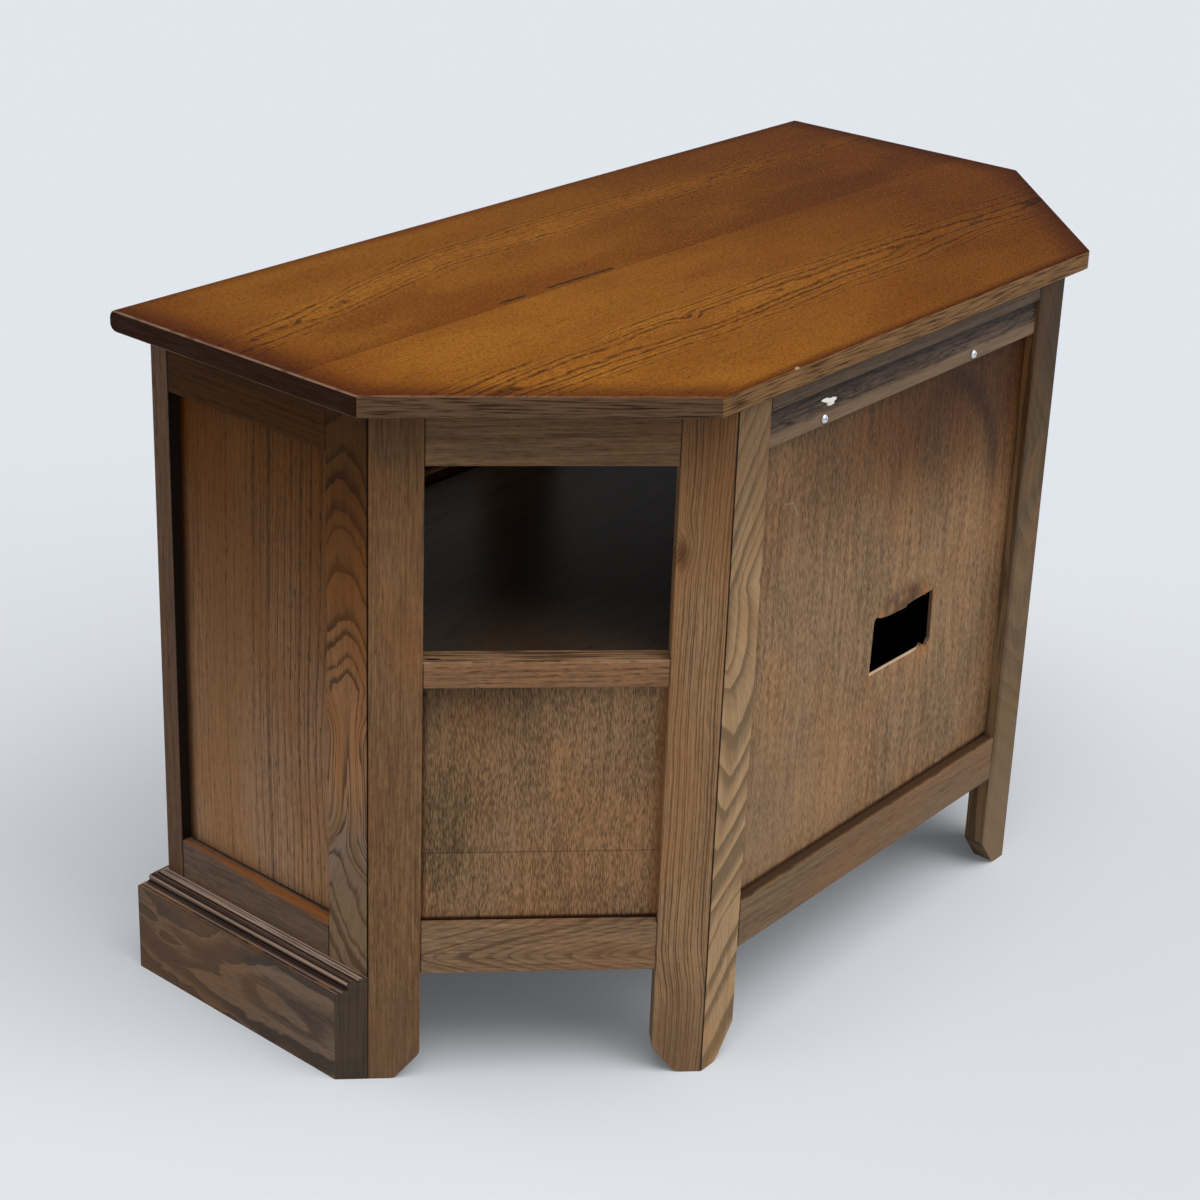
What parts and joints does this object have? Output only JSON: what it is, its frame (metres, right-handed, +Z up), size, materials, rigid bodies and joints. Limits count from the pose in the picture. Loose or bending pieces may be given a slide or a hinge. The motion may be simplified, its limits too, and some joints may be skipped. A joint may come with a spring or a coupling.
{
  "type": "corner cabinet",
  "caption": "Low corner cabinet of framed oak with cut-off back corners, open windows in the diagonal walls, open bays over hinged doors, an overhanging top and a moulded plinth.",
  "frame": {"origin": "on the floor, at the middle of the footprint of the whole cabinet", "axes": "+X to the right as seen from the front and along the width, -Y out of the front, +Y to the back, +Z up"},
  "size_m": [0.916, 0.467, 0.61],
  "materials": {
    "oak_top": "satin stain, warm",
    "oak_frame": "satin stain, dark",
    "oak_panel": "satin stain, dark",
    "oak_plinth": "satin stain, dark",
    "back_board": "stained plywood, unpolished",
    "batten_wood": "stained",
    "inner_board": "satin stain",
    "aged_brass": "aged",
    "zinc": "dull zinc plate",
    "catch_plastic": "matt brown"
  },
  "bodies": {
    "cabinet": {"top": "oak_top", "front_top_rail": "oak_frame", "front_bottom_rail": "oak_frame", "front_centre_stile": "oak_frame", "back_left_stile": "oak_frame", "back_right_stile": "oak_frame", "back_bottom_rail": "oak_frame", "back_top_rail": "oak_frame", "left_front_stile": "oak_frame", "right_front_stile": "oak_frame", "left_front_mid_rail": "oak_frame", "right_front_mid_rail": "oak_frame", "left_side_rear_stile": "oak_frame", "right_side_rear_stile": "oak_frame", "left_side_top_rail": "oak_frame", "right_side_top_rail": "oak_frame", "left_side_bottom_rail": "oak_frame", "right_side_bottom_rail": "oak_frame", "left_diagonal_front_stile": "oak_frame", "right_diagonal_front_stile": "oak_frame", "left_diagonal_rear_stile": "oak_frame", "right_diagonal_rear_stile": "oak_frame", "left_diagonal_top_rail": "oak_frame", "right_diagonal_top_rail": "oak_frame", "left_diagonal_mid_rail": "oak_frame", "right_diagonal_mid_rail": "oak_frame", "left_diagonal_bottom_rail": "oak_frame", "right_diagonal_bottom_rail": "oak_frame", "left_side_panel": "oak_panel", "right_side_panel": "oak_panel", "left_diagonal_panel": "oak_panel", "right_diagonal_panel": "oak_panel", "back_panel": "back_board", "back_batten": "batten_wood", "shelf": "inner_board", "floor_board": "inner_board", "support_cleats": "inner_board", "plinth_front": "oak_plinth", "left_plinth_side": "oak_plinth", "right_plinth_side": "oak_plinth", "frame_hinge_leaves": "aged_brass", "hinge_pins": "aged_brass", "batten_screws": "zinc", "door_catches": "catch_plastic"},
    "left_door": {"left_door_closing_stile": "oak_frame", "left_door_hinge_stile": "oak_frame", "left_door_top_rail": "oak_frame", "left_door_bottom_rail": "oak_frame", "left_door_panel": "oak_panel", "left_door_knob": "aged_brass", "left_door_hinge_leaves": "aged_brass", "left_door_strike": "zinc"},
    "right_door": {"right_door_closing_stile": "oak_frame", "right_door_hinge_stile": "oak_frame", "right_door_top_rail": "oak_frame", "right_door_bottom_rail": "oak_frame", "right_door_panel": "oak_panel", "right_door_knob": "aged_brass", "right_door_hinge_leaves": "aged_brass", "right_door_strike": "zinc"}
  },
  "joints": [
    {"name": "right_door_hinge", "type": "hinge", "parent": "cabinet", "child": "right_door", "pos_m": [0.3915, -0.2162, 0.2475], "axis": [0, 0, 1], "range_deg": [0, 170]},
    {"name": "left_door_hinge", "type": "hinge", "parent": "cabinet", "child": "left_door", "pos_m": [-0.3915, -0.2162, 0.2475], "axis": [0, 0, -1], "range_deg": [0, 170]}
  ]
}
